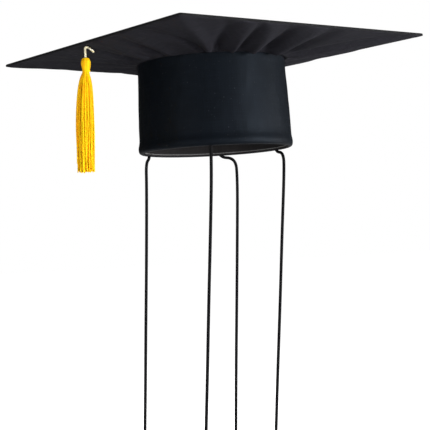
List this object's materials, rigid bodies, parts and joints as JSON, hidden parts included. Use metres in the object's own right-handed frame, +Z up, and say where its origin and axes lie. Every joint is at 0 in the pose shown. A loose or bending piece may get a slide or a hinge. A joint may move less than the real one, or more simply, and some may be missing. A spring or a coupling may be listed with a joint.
{
  "type": "graduation cap",
  "caption": "Small mortarboard cap: flat square cloth-covered board on a round cloth crown, with a hanging tassel at one edge and long thin tie cords under the rim.",
  "frame": {"origin": "centre of the crown's mouth, in the plane of the rim's lowest edge", "axes": "+Z up along the crown's axis to the board; the board's corners point along X and Y, with the front corner at -Y; the tassel hangs near the middle of the edge between -X and -Y"},
  "size_m": [0.3378, 0.3378, 0.355],
  "materials": {
    "board_cloth": "matte black polyester cloth",
    "under_cloth": "charcoal polyester cloth with a faint sheen",
    "crown_cloth": "matte blue-black cloth",
    "lining": "thin warm dark grey lining",
    "wadding": "soft grey wadding",
    "card": "grey board",
    "button_mould": "moulded",
    "black_thread": "sewing thread",
    "tie_cord": "black braided cord",
    "tassel_cord": "ivory twisted cord",
    "tassel_yarn": "golden yellow silky yarn"
  },
  "bodies": {
    "cap": {"board_core": "card", "board_top_cover": "board_cloth", "board_under_cover": "under_cloth", "crown_band": "card", "crown_sleeve": "crown_cloth", "crown_lining": "lining", "crown_top_disc": "card", "lining_top": "lining", "rim_roll": "wadding", "hem_wadding": "wadding", "button_core": "button_mould", "button_cover": "board_cloth", "button_thread": "black_thread", "button_washer": "button_mould", "cord_stitches": "black_thread", "cord_front": "tie_cord", "cord_right": "tie_cord", "cord_back": "tie_cord", "cord_left": "tie_cord", "knot_front": "tie_cord", "knot_right": "tie_cord", "knot_back": "tie_cord", "knot_left": "tie_cord", "tassel_cord_run": "tassel_cord", "tassel_cord_stitch": "black_thread", "tassel_cord_tack": "black_thread"},
    "tassel_link": {"tassel_cord_upper": "tassel_cord"},
    "tassel_drop": {"tassel_cord_lower": "tassel_cord"},
    "tassel": {"tassel_core_cord": "tassel_cord", "tassel_head": "tassel_yarn", "tassel_binding": "tassel_yarn", "tassel_skirt": "tassel_yarn"}
  },
  "joints": [
    {"name": "tassel_swing", "type": "hinge", "parent": "cap", "child": "tassel_link", "pos_m": [-0.08528, -0.07849, 0.07623], "axis": [-0.7071, 0.7071, 0], "range_deg": [-25, 70]},
    {"name": "tassel_sway", "type": "hinge", "parent": "tassel_link", "child": "tassel_drop", "pos_m": [-0.08528, -0.07849, 0.07263], "axis": [0.7071, 0.7071, 0], "range_deg": [-45, 45]},
    {"name": "tassel_twist", "type": "hinge", "parent": "tassel_drop", "child": "tassel", "pos_m": [-0.08528, -0.07849, 0.07003], "axis": [0, 0, 1], "continuous": true}
  ]
}
